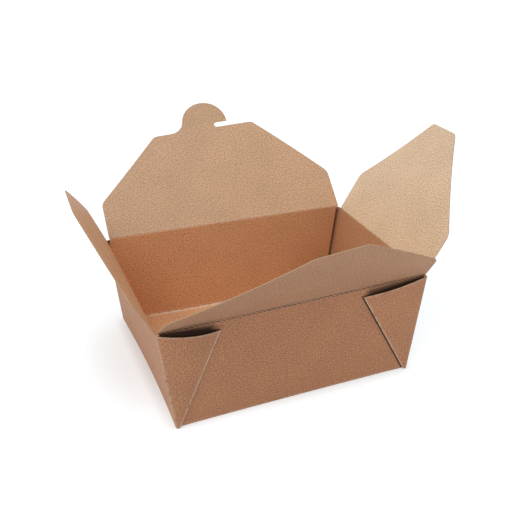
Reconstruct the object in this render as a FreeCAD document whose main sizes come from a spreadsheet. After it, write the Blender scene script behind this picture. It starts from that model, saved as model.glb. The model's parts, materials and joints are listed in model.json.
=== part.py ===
import FreeCAD, Part
import math
import os

import Sketcher

# Folding takeaway box of kraft card, die cut and creased from one sheet, standing open.
# Millimetres. +X is the long side, +Y the back, +Z up; the origin is the middle of the base.

SIZES = [
    # the card and its creases
    ("card", 0.45),
    ("fold_inside", 0.5),
    ("base_fold", 0.6),
    ("fold_flats", 4),
    ("crease_gap", 0.3),
    # the tray: base, wall height at the ends, and how far the rims stand out or lean in
    ("base_length", 152.0),
    ("base_width", 115.0),
    ("wall_height", 63.5),
    ("end_flare", 7.8),
    ("side_lean", 3.6),
    ("rim_step", 0.75),
    # the webs at the corners, folded double and glued flat on the long walls
    ("web_gap", 0.3),
    ("glue_press", 0.05),
    ("corner_slit", 1.2),
    ("web_start", 3.2),
    ("web_reach_left", 34.0),
    ("web_reach_right", 43.0),
    ("web_drop", 4.6),
    ("web_bow", 3.0),
    ("web_slack", 0.08),
    # end flaps
    ("end_root_width", 104.0),
    ("end_shoulder_width", 105.0),
    ("end_shoulder_length", 25.5),
    ("end_tip_width", 25.0),
    ("left_flap_length", 62.0),
    ("right_flap_length", 79.5),
    ("left_flap_angle", 63.0),
    ("right_flap_angle", 62.0),
    # front flap
    ("front_root_width", 165.0),
    ("front_shoulder_width", 162.0),
    ("front_shoulder_length", 18.0),
    ("front_tip_width", 31.0),
    ("front_flap_length", 62.0),
    ("front_flap_angle", 53.0),
    # back flap and its hook tab
    ("back_root_width", 165.0),
    ("back_shoulder_width", 164.0),
    ("back_shoulder_length", 26.0),
    ("back_tip_width", 73.0),
    ("back_flap_length", 71.5),
    ("back_flap_angle", 42.0),
    ("tab_offset", 2.0),
    ("tab_rise", 4.5),
    ("tab_radius", 15.5),
    ("tab_neck_radius", 10.0),
    ("tab_slot_start", 8.2),
    ("tab_slot_width", 3.5),
    # rounded corners of the flaps
    ("shoulder_round", 8.0),
    ("tip_round", 5.5),
]

LEFT, RIGHT = -1, 1
FRONT, BACK = -1, 1
OVERCUT = 2.0

doc = FreeCAD.newDocument("TakeawayBox")
sheet = doc.addObject("Spreadsheet::Sheet", "Sizes")
for row, (alias, value) in enumerate(SIZES, start=1):
    sheet.set("A%d" % row, alias)
    sheet.set("B%d" % row, str(value))
    sheet.setAlias("B%d" % row, alias)
doc.recompute()


def size(alias):
    """Value of one named size in the sheet."""
    return float(sheet.get(alias))


def end_face(height):
    """Distance from the middle to the outer face of an end wall, which flares outwards."""
    return size("base_length") / 2 + size("end_flare") * height / size("wall_height")


def long_face(height):
    """Distance from the middle to the outer face of a long wall, which leans inwards."""
    return size("base_width") / 2 - size("side_lean") * height / size("wall_height")


def rim_height(side):
    """Top of each wall: ends lowest, then front, then back, so that the closed flaps stack."""
    steps = {"left": 0, "right": 0, "front": 1, "back": 2}[side]
    return size("wall_height") + steps * size("rim_step")


def web_reach(end, height):
    """How far the diagonal fold of a corner web lies from the outer face of its end wall."""
    at_tip = size("web_reach_left") if end == LEFT else size("web_reach_right")
    share = height / (size("wall_height") - size("web_drop"))
    return size("web_start") + (at_tip - size("web_start")) * share


def web_bulge(height):
    """How far a web's outer layer bows out between its fold and the corner, most at the top."""
    growth = (size("web_bow") - size("web_slack")) / size("wall_height")
    return size("web_slack") + growth * height


def corner_point(end, side, height, inward, outward):
    """Point near a corner: inward from the end wall's face, outward from the long wall's."""
    x = end * (end_face(height) - inward)
    y = side * (long_face(height) + outward)
    return FreeCAD.Vector(x, y, height)


def tight_fold(centre, radius, start, sweep):
    """Fold or edge too tight to look round, as short flats: angles in degrees."""
    count = round(size("fold_flats"))
    angles = [math.radians(start + sweep * i / count) for i in range(count + 1)]
    places = [(centre[0] + radius * math.cos(a), centre[1] + radius * math.sin(a)) for a in angles]
    return list(zip(places, places[1:]))


def outer_corner(end, side, height):
    """Outside face of the sheet round one corner, as runs of points: 2 for a line, 3 for an arc."""
    card = size("card")
    fold = card + size("web_gap") / 2
    turn = card + size("fold_inside")
    layer = 2 * fold - size("glue_press")
    middle = web_reach(end, height) - fold
    bow = web_bulge(height)
    seat = math.degrees(math.asin((layer - fold) / fold))
    bend = turn * (1 - math.sqrt(0.5))
    runs = tight_fold((middle, layer - fold), fold, -seat, 90 + seat)
    runs += [
        [runs[-1][-1], ((middle + turn) / 2, layer + bow), (turn, layer)],
        [(turn, layer), (bend, layer - bend), (0, layer - turn)],
    ]
    return [[corner_point(end, side, height, *place) for place in run] for run in runs]


def inner_corner(end, side, height):
    """Inside face of the sheet round one corner: wall edge, web layers, then the end wall."""
    card = size("card")
    gap = size("web_gap") / 2
    turn = card + size("fold_inside")
    press = size("glue_press")
    layer = card + 2 * gap - press
    middle = web_reach(end, height) - card - gap
    edge = card + size("corner_slit")
    edge_round = card - press / 2
    bow = web_bulge(height)
    inside = size("fold_inside")
    bend = inside * (1 - math.sqrt(0.5))
    wall_edge = tight_fold((edge + edge_round, -press / 2), edge_round, -90, -180)
    web_fold = tight_fold((middle, layer - gap), gap, -90, 180)
    runs = wall_edge + [[wall_edge[-1][-1], web_fold[0][0]]] + web_fold
    runs += [
        [web_fold[-1][-1], ((middle + turn) / 2, layer + bow), (turn, layer)],
        [(turn, layer), (card + bend, layer - bend), (card, layer - inside)],
    ]
    return [[corner_point(end, side, height, *place) for place in run] for run in runs]


def section(corner, height):
    """Runs of points round the whole box at one height, in order, joined by straight walls."""
    runs = []
    for end, side in ((RIGHT, FRONT), (RIGHT, BACK), (LEFT, BACK), (LEFT, FRONT)):
        turn = corner(end, side, height)
        if (end, side) in ((RIGHT, BACK), (LEFT, FRONT)):
            turn = [run[::-1] for run in turn[::-1]]
        if runs:
            runs.append([runs[-1][-1], turn[0][0]])
        runs.extend(turn)
    runs.append([runs[-1][-1], runs[0][0]])
    return runs


def run_edge(run):
    """One edge of a section: a line through 2 points or an arc through 3."""
    if len(run) == 2:
        return Part.makeLine(run[0], run[1])
    return Part.Arc(*run).toShape()


def run_face(foot, head):
    """Face between one run at two heights: a flat wall, a soft corner or a bowed web."""
    if len(foot) == 2:
        outline = [foot[0], foot[1], head[1], head[0], foot[0]]
        return Part.Face(Part.makePolygon(outline))
    climb = head[0] - foot[0]
    if all((above - below).isEqual(climb, 1e-7) for below, above in zip(foot, head)):
        return run_edge(foot).extrude(climb)
    return Part.makeRuledSurface(run_edge(foot), run_edge(head))


def folded_solid(corner, low, high):
    """Solid between the sections at two heights, with flat walls and straight folds."""
    below = section(corner, low)
    above = section(corner, high)
    faces = [run_face(foot, head) for foot, head in zip(below, above)]
    for runs in (below, above):
        faces.append(Part.Face(Part.Wire([run_edge(run) for run in runs])))
    shell = Part.makeShell(faces)
    shell.sewShape()
    solid = Part.Solid(Part.Shell(shell.Faces))
    if solid.Volume < 0:
        solid.reverse()
    return solid


def end_trim(end):
    """Block that lowers an end wall to its own rim, beside the long walls' edges."""
    low = rim_height("left")
    high = rim_height("back") + OVERCUT
    beside = size("card") + size("corner_slit") / 2
    far = end_face(high) + OVERCUT
    half = long_face(0) + size("base_width") / 2
    points = [
        (end_face(low) - beside, low),
        (far, low),
        (far, high),
        (end_face(high) - beside, high),
    ]
    outline = [FreeCAD.Vector(end * x, -half, z) for x, z in points]
    face = Part.Face(Part.makePolygon(outline + outline[:1]))
    return face.extrude(FreeCAD.Vector(0, 2 * half, 0))


def web_trim(side):
    """Block outside a long wall that cuts both webs' top edges down from corner to tip."""
    rim = size("wall_height")
    tip = rim - size("web_drop")
    high = rim_height("back") + OVERCUT

    def on_wall(x, z):
        return FreeCAD.Vector(x, side * long_face(z), z)

    right_tip = end_face(tip) - web_reach(RIGHT, tip)
    left_tip = web_reach(LEFT, tip) - end_face(tip)
    far = end_face(high) + OVERCUT
    outline = [
        on_wall(-far, rim),
        on_wall(-end_face(rim), rim),
        on_wall(left_tip, tip),
        on_wall(right_tip, tip),
        on_wall(end_face(rim), rim),
        on_wall(far, rim),
        on_wall(far, high),
        on_wall(-far, high),
    ]
    face = Part.Face(Part.makePolygon(outline + outline[:1]))
    lean = math.atan2(size("side_lean"), size("wall_height"))
    outward = FreeCAD.Vector(0, side * math.cos(lean), math.sin(lean))
    depth = 2 * size("card") + size("web_gap") + size("web_bow") + OVERCUT
    return face.extrude(outward * depth)


def front_trim():
    """Block that lowers the front wall to its own rim, under the back wall's."""
    length = 2 * end_face(rim_height("back")) + 2 * OVERCUT
    corner = FreeCAD.Vector(-length / 2, -size("base_width"), rim_height("front"))
    return Part.makeBox(length, size("base_width"), 2 * size("rim_step") + OVERCUT, corner)


def rounded_block(face_at, along, top):
    """Block between two opposite walls' outer faces, with the base folds rounded."""
    half = size("base_length") + size("base_width")
    across = FreeCAD.Vector(0, 1, 0) if along.x else FreeCAD.Vector(1, 0, 0)
    profile = [(-face_at(0), 0), (face_at(0), 0), (face_at(top), top), (-face_at(top), top)]
    outline = [across * place + along * -half + FreeCAD.Vector(0, 0, z) for place, z in profile]
    block = Part.Face(Part.makePolygon(outline + outline[:1])).extrude(along * 2 * half)
    folds = [e for e in block.Edges if e.BoundBox.ZMax < 1e-6 and e.Length > half]
    return block.makeFillet(size("base_fold"), folds)


def long_base_folds(top):
    """What the rounded folds take off the base's long edges, between the feet of the webs."""
    half = size("base_length") / 2 - size("web_start")
    depth = size("base_width") + 2 * OVERCUT
    corner = FreeCAD.Vector(-half, -depth / 2, -OVERCUT)
    edges = Part.makeBox(2 * half, depth, OVERCUT + 2 * size("base_fold"), corner)
    below = Part.makeBox(2 * half, depth, OVERCUT, corner)
    return edges.cut(below).cut(rounded_block(long_face, FreeCAD.Vector(1, 0, 0), top))


def add_feature(name, shape):
    """Document object that holds a shape worked out from the sheet."""
    feature = doc.addObject("Part::Feature", name)
    feature.Shape = shape
    return feature


def add_cut(name, base, tool):
    """Boolean cut of one object by another."""
    cut = doc.addObject("Part::Cut", name)
    cut.Base = base
    cut.Tool = tool
    return cut


def make_box_body():
    """The tray: base, four walls and four double-folded webs, in one piece of card."""
    top = rim_height("back")
    outside = doc.addObject("Part::Common", "Outside")
    outside.Base = add_feature("FoldedOutside", folded_solid(outer_corner, 0, top))
    along_y = FreeCAD.Vector(0, 1, 0)
    outside.Tool = add_feature("RoundedEnds", rounded_block(end_face, along_y, top))
    inside = add_feature("FoldedInside", folded_solid(inner_corner, size("card"), top + OVERCUT))
    tray = add_cut("FoldedTray", outside, inside)
    trims = [
        ("LeftRim", end_trim(LEFT)),
        ("RightRim", end_trim(RIGHT)),
        ("FrontWebs", web_trim(FRONT)),
        ("BackWebs", web_trim(BACK)),
        ("FrontRim", front_trim()),
        ("BaseFolds", long_base_folds(top)),
    ]
    for name, shape in trims:
        tray = add_cut(name + "Cut", tray, add_feature(name, shape))
    doc.recompute()
    body = add_feature("box_body", tray.Shape)
    body.Label = "box_body"
    return body


def outline_sketch(body, name, corners):
    """Closed outline, alike on both sides of the Y axis; corners are pairs of expressions."""
    sketch = body.newObject("Sketcher::SketchObject", name)
    plane = [f for f in body.Origin.OriginFeatures if f.Role == "XY_Plane"][0]
    sketch.AttachmentSupport = [(plane, "")]
    sketch.MapMode = "FlatFace"
    guess = [FreeCAD.Vector(20 - 2 * i, 20 * i, 0) for i in range(len(corners))]
    mirrored = [FreeCAD.Vector(-p.x, p.y, 0) for p in reversed(guess)]
    points = guess + mirrored
    count = len(points)
    for i in range(count):
        sketch.addGeometry(Part.LineSegment(points[i], points[(i + 1) % count]), False)
    for i in range(count):
        sketch.addConstraint(Sketcher.Constraint("Coincident", i, 2, (i + 1) % count, 1))
    for i in range(len(corners)):
        sketch.addConstraint(Sketcher.Constraint("Symmetric", i, 1, count - 1 - i, 1, -2))
    for i, (across, along) in enumerate(corners):
        for kind, value, start in (("DistanceX", across, points[i].x), ("DistanceY", along, points[i].y)):
            number = sketch.addConstraint(Sketcher.Constraint(kind, -1, 1, i, 1, start))
            sketch.setExpression("Constraints[%d]" % number, value)
    sketch.setExpression("AttachmentOffset.Base.z", "-Sizes.card / 2")
    return sketch


def upright_edges(shape, places, reach=0.5):
    """Names of the plate's short edges that stand at the given places of its outline."""
    names = []
    for number, edge in enumerate(shape.Edges, start=1):
        middle = edge.BoundBox.Center
        upright = edge.BoundBox.XLength < 1e-6 and edge.BoundBox.YLength < 1e-6
        near = any(abs(middle.x - x) < reach and abs(middle.y - y) < reach for x, y in places)
        if upright and near:
            names.append("Edge%d" % number)
    return names


def add_fillet(body, name, base, edges, radius):
    """Fillet of some edges of a feature, with its radius bound to the sheet."""
    fillet = body.newObject("PartDesign::Fillet", name)
    fillet.Base = (base, edges)
    fillet.setExpression("Radius", radius)
    doc.recompute()
    return fillet


def make_flap(label, kind, length, turn, angle, axis):
    """Flap with a straight root, spreading shoulders and a narrow tip, leaning on its crease."""
    body = doc.addObject("PartDesign::Body", label)
    body.Label = label
    root = "Sizes.%s_root_width / 2" % kind
    shoulder = "Sizes.%s_shoulder_width / 2" % kind
    tip = "Sizes.%s_tip_width / 2" % kind
    rise_to = "Sizes.%s_shoulder_length" % kind
    corners = [(root, "0 - Sizes.card / 2"), (shoulder, rise_to), (tip, "Sizes." + length)]
    sketch = outline_sketch(body, label + "_outline", corners)
    pad = body.newObject("PartDesign::Pad", label + "_plate")
    pad.Profile = sketch
    pad.setExpression("Length", "Sizes.card")
    doc.recompute()
    half_tip = size(kind + "_tip_width") / 2
    half_shoulder = size(kind + "_shoulder_width") / 2
    shoulders = [(s * half_shoulder, size(kind + "_shoulder_length")) for s in (LEFT, RIGHT)]
    tips = [(s * half_tip, size(length)) for s in (LEFT, RIGHT)]
    plate = add_fillet(body, label + "_shoulders", pad, upright_edges(pad.Shape, shoulders),
                       "Sizes.shoulder_round")
    plate = add_fillet(body, label + "_tips", plate, upright_edges(plate.Shape, tips),
                       "Sizes.tip_round")
    long_root = [
        "Edge%d" % number
        for number, edge in enumerate(plate.Shape.Edges, start=1)
        if edge.BoundBox.YMax < 0 and edge.BoundBox.XLength > size(kind + "_root_width") / 2
    ]
    plate = add_fillet(body, label + "_root", plate, long_root, "Sizes.card * 0.49")
    outward = FreeCAD.Rotation(FreeCAD.Vector(0, 0, 1), turn)
    lean = FreeCAD.Rotation(FreeCAD.Vector(1, 0, 0), size(angle))
    body.Placement = FreeCAD.Placement(axis, outward * lean)
    return body


def tab_sketch(body, name):
    """Empty sketch in the mid plane of a flap, lowered to the plate's outer face."""
    sketch = body.newObject("Sketcher::SketchObject", name)
    plane = [f for f in body.Origin.OriginFeatures if f.Role == "XY_Plane"][0]
    sketch.AttachmentSupport = [(plane, "")]
    sketch.MapMode = "FlatFace"
    sketch.setExpression("AttachmentOffset.Base.z", "-Sizes.card / 2")
    return sketch


def add_hook_tab(body):
    """Round tab on the back flap's end: a hollow neck on its left, a slot under its hook."""
    centre = FreeCAD.Vector(size("tab_offset"), size("back_flap_length") + size("tab_rise"), 0)
    up = FreeCAD.Vector(0, 0, 1)
    disc_sketch = tab_sketch(body, "tab_outline")
    disc_sketch.addGeometry(Part.Circle(centre, up, size("tab_radius")), False)
    ties = [
        (Sketcher.Constraint("DistanceX", -1, 1, 0, 3, centre.x), "Sizes.tab_offset"),
        (Sketcher.Constraint("DistanceY", -1, 1, 0, 3, centre.y), "Sizes.back_flap_length + Sizes.tab_rise"),
        (Sketcher.Constraint("Radius", 0, size("tab_radius")), "Sizes.tab_radius"),
    ]
    for constraint, value in ties:
        number = disc_sketch.addConstraint(constraint)
        disc_sketch.setExpression("Constraints[%d]" % number, value)
    disc = body.newObject("PartDesign::Pad", "tab_disc")
    disc.Profile = disc_sketch
    disc.setExpression("Length", "Sizes.card")
    doc.recompute()
    half_chord = math.sqrt(size("tab_radius") ** 2 - size("tab_rise") ** 2)
    neck = [(size("tab_offset") - half_chord, size("back_flap_length"))]
    necked = add_fillet(body, "tab_neck", disc, upright_edges(disc.Shape, neck), "Sizes.tab_neck_radius")

    slot_sketch = tab_sketch(body, "tab_slot_outline")
    half = size("tab_slot_width") / 2
    low = size("back_flap_length")
    start = size("tab_slot_start") + half
    stop = size("tab_offset") + size("tab_radius") + half
    corner = [
        FreeCAD.Vector(start, low, 0),
        FreeCAD.Vector(stop, low, 0),
        FreeCAD.Vector(stop, low + 2 * half, 0),
        FreeCAD.Vector(start, low + 2 * half, 0),
    ]
    for i in range(3):
        slot_sketch.addGeometry(Part.LineSegment(corner[i], corner[i + 1]), False)
    round_end = Part.Arc(corner[3], FreeCAD.Vector(start - half, low + half, 0), corner[0])
    slot_sketch.addGeometry(round_end, False)
    for first, second in ((0, 1), (1, 2)):
        slot_sketch.addConstraint(Sketcher.Constraint("Coincident", first, 2, second, 1))
    slot_sketch.addConstraint(Sketcher.Constraint("Tangent", 2, 2, 3, 1))
    slot_sketch.addConstraint(Sketcher.Constraint("Tangent", 3, 2, 0, 1))
    slot_sketch.addConstraint(Sketcher.Constraint("Horizontal", 0))
    slot_sketch.addConstraint(Sketcher.Constraint("Vertical", 1))
    ties = [
        ("DistanceX", 0, start, "Sizes.tab_slot_start + Sizes.tab_slot_width / 2"),
        ("DistanceY", 0, low, "Sizes.back_flap_length"),
        ("DistanceX", 1, stop, "Sizes.tab_offset + Sizes.tab_radius + Sizes.tab_slot_width / 2"),
        ("DistanceY", 2, low + 2 * half, "Sizes.back_flap_length + Sizes.tab_slot_width"),
    ]
    for kind, line, start_value, value in ties:
        number = slot_sketch.addConstraint(Sketcher.Constraint(kind, -1, 1, line, 1, start_value))
        slot_sketch.setExpression("Constraints[%d]" % number, value)
    slot = body.newObject("PartDesign::Pocket", "tab_slot")
    slot.Profile = slot_sketch
    slot.Type = "ThroughAll"
    slot.Reversed = True
    doc.recompute()
    if slot.Shape.Volume > necked.Shape.Volume - 1e-3:
        raise RuntimeError("the slot under the hook cuts nothing")
    return body


def crease_axis(side):
    """Point on a flap's crease: over the middle of the wall's thickness, clear of its rim."""
    rim = rim_height(side)
    lift = rim + size("crease_gap") + size("card") / 2
    if side in ("left", "right"):
        x = end_face(rim) - size("card") / 2
        return FreeCAD.Vector(x if side == "right" else -x, 0, lift)
    y = long_face(rim) - size("card") / 2
    return FreeCAD.Vector(0, y if side == "back" else -y, lift)


make_box_body()
make_flap("left_flap", "end", "left_flap_length", 90, "left_flap_angle", crease_axis("left"))
make_flap("right_flap", "end", "right_flap_length", -90, "right_flap_angle", crease_axis("right"))
make_flap("front_flap", "front", "front_flap_length", 180, "front_flap_angle", crease_axis("front"))
back_flap = make_flap("back_flap", "back", "back_flap_length", 0, "back_flap_angle", crease_axis("back"))
add_hook_tab(back_flap)
doc.recompute()

NODES = ["box_body", "left_flap", "right_flap", "front_flap", "back_flap"]

for item in doc.Objects:
    if "Invalid" in item.State or "Error" in item.State:
        raise RuntimeError("%s did not build: %s" % (item.Name, item.State))
for node in NODES:
    shape = doc.getObject(node).Shape
    if shape.isNull() or not shape.isValid() or len(shape.Solids) != 1:
        raise RuntimeError("%s is not one valid solid" % node)

os.makedirs("parts", exist_ok=True)
for node in NODES:
    shape = doc.getObject(node).Shape
    shape.exportStep("parts/%s.step" % node)
    box = shape.BoundBox
    print("%-11s %8.1f mm3  x %.1f %.1f  y %.1f %.1f  z %.1f %.1f" % (
        node, shape.Volume, box.XMin, box.XMax, box.YMin, box.YMax, box.ZMin, box.ZMax))
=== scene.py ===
"""Takeaway box of brown kraft card, standing open: one folded sheet, drawn as its tray and four flaps."""

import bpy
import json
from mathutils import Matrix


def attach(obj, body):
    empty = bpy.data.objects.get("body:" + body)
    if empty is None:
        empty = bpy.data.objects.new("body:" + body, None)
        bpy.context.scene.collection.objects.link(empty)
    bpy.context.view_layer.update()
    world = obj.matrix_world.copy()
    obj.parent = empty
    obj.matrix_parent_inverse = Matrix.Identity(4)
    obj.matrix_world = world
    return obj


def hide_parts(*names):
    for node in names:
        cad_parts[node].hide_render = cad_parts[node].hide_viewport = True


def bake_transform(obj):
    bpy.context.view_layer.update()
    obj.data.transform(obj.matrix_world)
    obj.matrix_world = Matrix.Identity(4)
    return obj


bl_info = {
    "name": "Takeaway box",
    "version": (1, 0, 0),
    "blender": (4, 5, 0),
    "location": "View3D > Sidebar > Takeaway box",
    "description": "Builds an open takeaway box of folded kraft card round its packed model",
    "category": "Object",
}

import json
import math

import bmesh
import bpy
import numpy as np
from bpy.props import FloatProperty, FloatVectorProperty, PointerProperty
from bpy.types import Operator, Panel, PropertyGroup
from mathutils import Matrix, Vector

MM = 0.001
BEND_TURN = np.radians(np.linspace(90, 0, 7))
UV_NAME = "Flat sheet"
MARKS = ("wear", "shade_outside", "shade_inside", "lid", "floor")
LEFT, RIGHT = -1, 1
FRONT, BACK = -1, 1
FLAP_SIDES = {"left_flap": ("x", LEFT), "right_flap": ("x", RIGHT),
              "front_flap": ("y", FRONT), "back_flap": ("y", BACK)}
CORNERS = ("front_left", "front_right", "back_left", "back_right")
# How many points, rows and columns the sheet has along each of its parts.
TURN_POINTS, INNER_POINTS, OUTER_POINTS = 9, 14, 26
WALL_COLUMNS, WALL_ROWS, ROOT_COLUMNS = 49, 44, 37
STRIP_ROWS, CREASE_ROWS, LID_ROWS = 5, 15, 34
END_COLUMNS, FRONT_COLUMNS, BACK_COLUMNS = (25, 33, 25), (41, 41, 41), (37, 25, 41)
SLOT_ROWS, CROWN_ROWS, TAB_COLUMNS, HOOK_COLUMNS = 13, 26, 25, 9
# Shares of the back flap's half width at which its columns run to the two ends of the hook tab's neck.
BACK_KNOTS = (-0.33, 0.14)
ROOT_GAP, WELD_GAP = 0.02 * MM, 0.001 * MM
SHARP_ANGLE = math.radians(50)
# Where further columns and rows run: shares of the way from a root to its corner, distances past a crease.
BESIDE_ROOT = np.array([0.0, 0.3, 0.6, 0.85, 1.0])
PAST_CREASE = np.array([0.3, 0.7, 1.3]) * MM
SLOPE_SAMPLES = 96
# How rubbed the card is at its folds and edges, 0 to 1.
# The left web's diagonal fold is also a painted highlight of its lit edge.
WEAR = {"web_edge": 0.6, "left_diagonal_highlight": 0.75, "right_diagonal": 0.5, "upright": 0.35,
        "foot": 0.2, "crease": 0.3}
WEB_WEAR_WIDTH, FOOT_WEAR_WIDTH, BASE_WEAR_WIDTH, BACK_ZONE = 0.35 * MM, 0.6 * MM, 0.4 * MM, 6 * MM
# Painted shade where less light falls on a face: how much of the dark shade colour lies over it,
# at its middle, its rise per metre along X, and its most.
FRONT_SHADE = (0.07, -0.8, 0.15)
BACK_SHADE = (0.12, 1.33, 1.0)
LID_SHADE = (0.07, -0.9, 0.13)
TAB_SHADE, END_SHADE, WEB_SHADE, RIGHT_SHADE = 0.10, 0.07, 0.13, 0.32
TAB_SHADE_WIDTH = 8 * MM
# Noise on the flat sheet: its scale, detail and roughness.
CLOUD, GRAIN, SPECK = (45.0, 3.0, 0.5), (1060.0, 2.0, 0.6), (1900.0, 1.0, 0.5)
RUBBING, LAYERS = (260.0, 3.0, 0.5), (1500.0, 2.0, 0.5)
# How much each noise changes the tone of the card or of its cut edge.
CLOUD_TONE, GRAIN_TONE, SPECK_TONE, LAYER_TONE = 0.24, 1.6, 2.2, 0.3
EDGE_TONE = 0.94
# The noise levels between which rubbing shows, and between which the pressed score grows stronger.
RUBBED_LEVELS, SCORE_LEVELS = (0.34, 0.50), (0.4, 0.6)
# Fibres: turn in degrees, length and width in millimetres, and the noise levels between which they show.
DARK_FIBRES = ((12.0, 2.2, 0.42, 0.62, 0.76), (74.0, 1.6, 0.40, 0.64, 0.78))
LIGHT_FIBRES = ((-38.0, 2.0, 0.40, 0.62, 0.78), (-4.0, 2.6, 0.38, 0.63, 0.78))
# Strength of the fibres, and of the painted shade's dark.
FIBRE_STRENGTH, PAINTED_SHADE_STRENGTH = 0.40, 0.97
# How much grain, specks and fibres stand up, and how deep that relief is.
RELIEF = (0.6, 0.4, 0.3, -0.2)
RELIEF_STRENGTH, RELIEF_DEPTH = 0.35, 0.06 * MM
# How far the card's worn folds show, its roughness and its gloss.
OUTSIDE_FINISH, INSIDE_FINISH, EDGE_FINISH = (0.8, 0.60, 0.45), (1.0, 0.52, 0.75), (0.0, 0.9, 0.2)
GRAIN_ROUGHNESS = 0.2
# The floor, and the painted shadow on it, in metres from the box's middle: a soft ellipse left of the box
# and a narrow contact shadow round its base.
FLOOR_HALF, FLOOR_WHITE, FLOOR_TINT = 3.0, 0.82, (0.85, 0.95, 1.0)
SHADE_PLACE, SHADE_SIZE, SHADE_FADE = (-0.078, 0.015), (0.058, 0.098), (0.15, 1.1)
CONTACT_HALF, CONTACT_REACH, CONTACT_DARK = (0.076, 0.0565), (-2 * MM, 8 * MM), 0.22
KEY_PLACE, HIGH_PLACE = (-0.62, -0.72, 0.80), (-0.55, -0.20, 0.95)
LIGHT_TARGET, LIGHT_SIDE = (0.0, 0.0, 0.05), 0.5

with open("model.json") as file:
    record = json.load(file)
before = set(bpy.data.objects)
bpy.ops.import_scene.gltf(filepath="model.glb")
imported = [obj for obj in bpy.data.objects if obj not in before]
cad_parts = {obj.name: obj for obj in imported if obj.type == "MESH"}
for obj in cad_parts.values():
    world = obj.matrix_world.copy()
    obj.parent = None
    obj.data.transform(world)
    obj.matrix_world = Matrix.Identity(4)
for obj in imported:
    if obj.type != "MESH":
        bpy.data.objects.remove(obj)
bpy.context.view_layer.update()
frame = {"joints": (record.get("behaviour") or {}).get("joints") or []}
HINGES = {joint["name"]: Vector(joint["pos_m"]) for joint in frame["joints"]}


def length(text, millimetres, description):
    """A distance that the panel shows."""
    return FloatProperty(name=text, default=millimetres * MM, description=description, unit="LENGTH",
                         subtype="DISTANCE", precision=5)


def angle(text, degrees, description):
    """An angle that the panel shows."""
    return FloatProperty(name=text, default=math.radians(degrees), description=description,
                         unit="ROTATION", subtype="ANGLE")


def colour(text, rgb, subject):
    """A colour that the panel shows, its default as the eye reads it (sRGB, 0 to 1)."""
    linear = [value / 12.92 if value < 0.04045 else ((value + 0.055) / 1.055) ** 2.4 for value in rgb]
    return FloatVectorProperty(name=text, default=linear, description="Colour of " + subject,
                               subtype="COLOR", size=3, min=0.0, max=1.0)


def shift(text, millimetres, description):
    """A shift in x, y and z that the panel shows."""
    return FloatVectorProperty(name=text, default=[value * MM for value in millimetres],
                               description=description, unit="LENGTH", size=3, precision=5)


def number(text, default, description):
    """A plain number that the panel shows."""
    return FloatProperty(name=text, default=default, description=description)


def group(kind, text, description):
    """A group of settings that the panel shows."""
    return PointerProperty(type=kind, name=text, description=description)


class TrayShape(PropertyGroup):
    """Sizes of the tray: its card, base, walls and the webs folded double at the corners."""

    card: length("Card", 0.45, "Thickness of the card")
    base_length: length("Base length", 152.0, "Length of the base, along X")
    base_width: length("Base width", 115.0, "Width of the base, along Y")
    wall_height: length("Wall height", 63.5, "Height of the end walls")
    rim_step: length("Rim step", 0.75, "How much higher each next rim is: end, front, back")
    end_flare: length("End flare", 7.8, "How far an end wall's rim stands out past its foot")
    side_lean: length("Side lean", 3.6, "How far a long wall's rim leans in from its foot")
    base_bend: length("Base bend", 0.375, "Radius of the folds round the base, at the card's middle")
    corner_bend: length("Corner bend", 0.725, "Radius of the soft upright corners, at the card's middle")
    layer_step: length("Layer step", 0.925, "How far a web's outer layer stands off the long wall's face")
    inner_step: length("Inner step", 0.245, "How far a web's inner layer stands off the long wall's face")
    edge_inset: length("Edge inset", 2.075, "Distance from an end wall's face to the long wall's edge fold")
    web_start: length("Web start", 2.4, "Distance from the corner to the foot of a web's diagonal fold")
    web_reach_left: length("Left web reach", 35.4, "Distance from the corner to a left web's tip")
    web_reach_right: length("Right web reach", 43.0, "Distance from the corner to a right web's tip")
    web_drop: length("Web drop", 4.6, "How far a web's tip lies below its corner")
    web_bow_left: length("Left web bow", 3.6, "How far a left web's outer layer bows out, at its top")
    web_bow_right: length("Right web bow", 1.9, "How far a right web's outer layer bows out, at its top")
    left_foot_bow: length("Left foot bow", 1.5, "How far the left end of the base bows in")
    right_foot_bow: length("Right foot bow", 0.4, "How far the right end of the base bows in")
    front_foot_bow: length("Front foot bow", 0.5, "How far the front of the base bows in")
    back_foot_bow: length("Back foot bow", 3.3, "How far the back of the base bows in")
    wall_belly: length("Wall belly", 0.5, "How far the walls bow in half way up")
    rim_overlap: length("Rim strip", 2.0, "How far below its crease a flap's piece takes over from the wall")


class CornerSet(PropertyGroup):
    """How far the corners of the open box stand from their even places."""

    rim_front_left: shift("Front left rim", (-0.54, -0.51, -1.01), "Shift of the rim's front left corner")
    rim_front_right: shift("Front right rim", (0.28, 0.24, 0.41), "Shift of the rim's front right corner")
    rim_back_left: shift("Back left rim", (-0.53, 0.35, 0.42), "Shift of the rim's back left corner")
    rim_back_right: shift("Back right rim", (-0.34, -0.88, -1.71), "Shift of the rim's back right corner")
    foot_front_left: shift("Front left foot", (0.22, -0.21, 0.0), "Shift of the base's front left corner")
    foot_front_right: shift("Front right foot", (0.45, 0.58, 0.0), "Shift of the base's front right corner")
    foot_back_left: shift("Back left foot", (-0.15, 0.60, 0.0), "Shift of the base's back left corner")
    foot_back_right: shift("Back right foot", (5.0, -0.44, 0.0), "Shift of the base's back right corner")


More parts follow.
